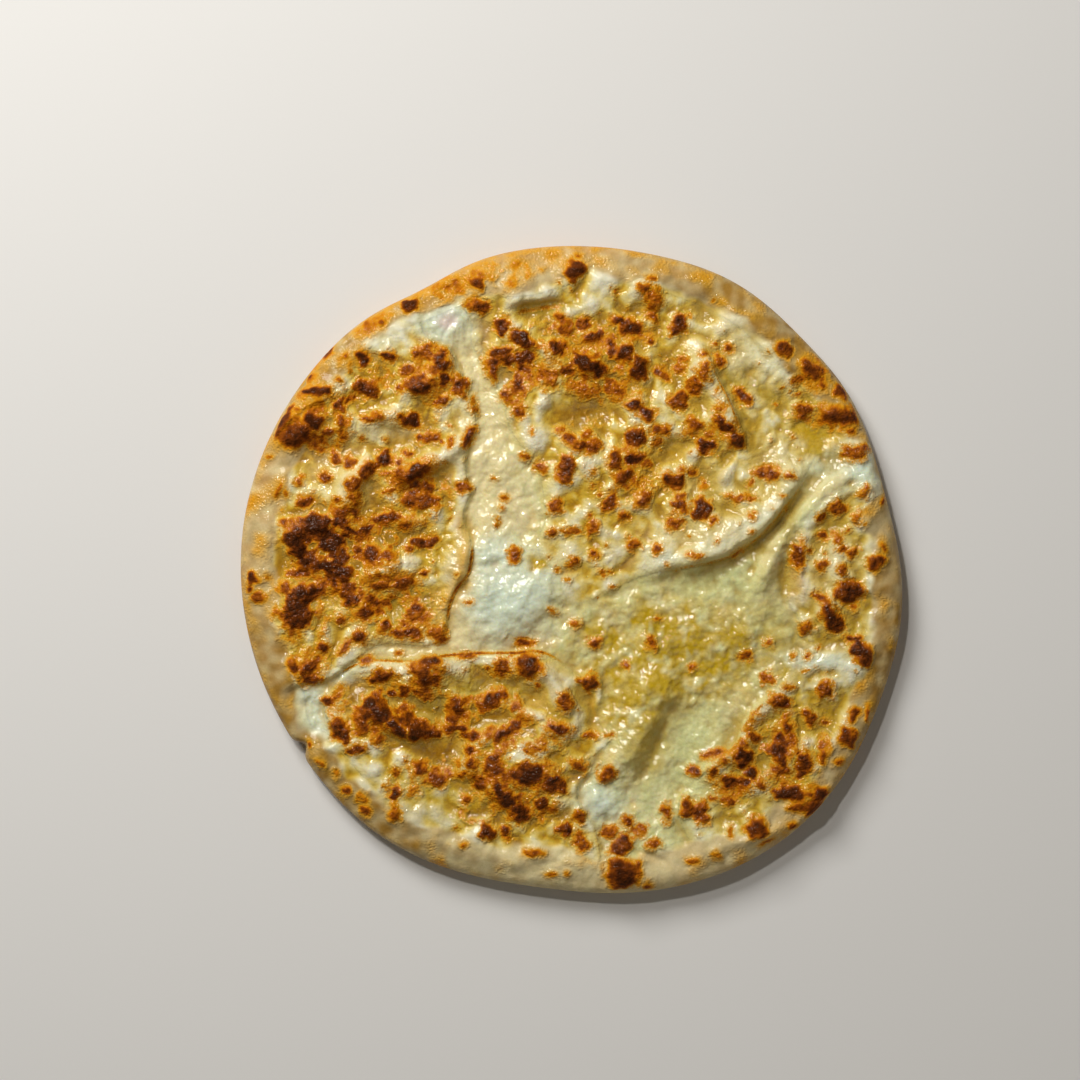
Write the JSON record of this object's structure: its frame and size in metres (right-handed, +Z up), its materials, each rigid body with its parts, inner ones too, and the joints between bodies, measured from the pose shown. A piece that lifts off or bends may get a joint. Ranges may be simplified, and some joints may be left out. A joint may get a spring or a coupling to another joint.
{
  "type": "megrelian khachapuri cheese bread",
  "caption": "round baked cheese bread with a puffed dough rim, cut in four and lying whole, browned cheese on top, molten cheese in the cuts",
  "frame": {"origin": "middle of the bread's bounding box, on its flat underside", "axes": "+Z up out of the cheese; seen from above, +Y is the picture's top and +X its right"},
  "size_m": [0.2859, 0.2799, 0.0214],
  "materials": {
    "dough": "baked wheat dough, matte, pale gold with toasted patches",
    "molten_cheese": "soft white molten cheese, greasy gloss",
    "baked_cheese": "cream to golden baked cheese with brown blisters, greasy gloss"
  },
  "bodies": {
    "root": {"bread": "dough", "molten_cheese": "molten_cheese", "baked_cheese_upper": "baked_cheese", "baked_cheese_left": "baked_cheese", "baked_cheese_lower": "baked_cheese", "baked_cheese_right": "baked_cheese"}
  },
  "joints": []
}
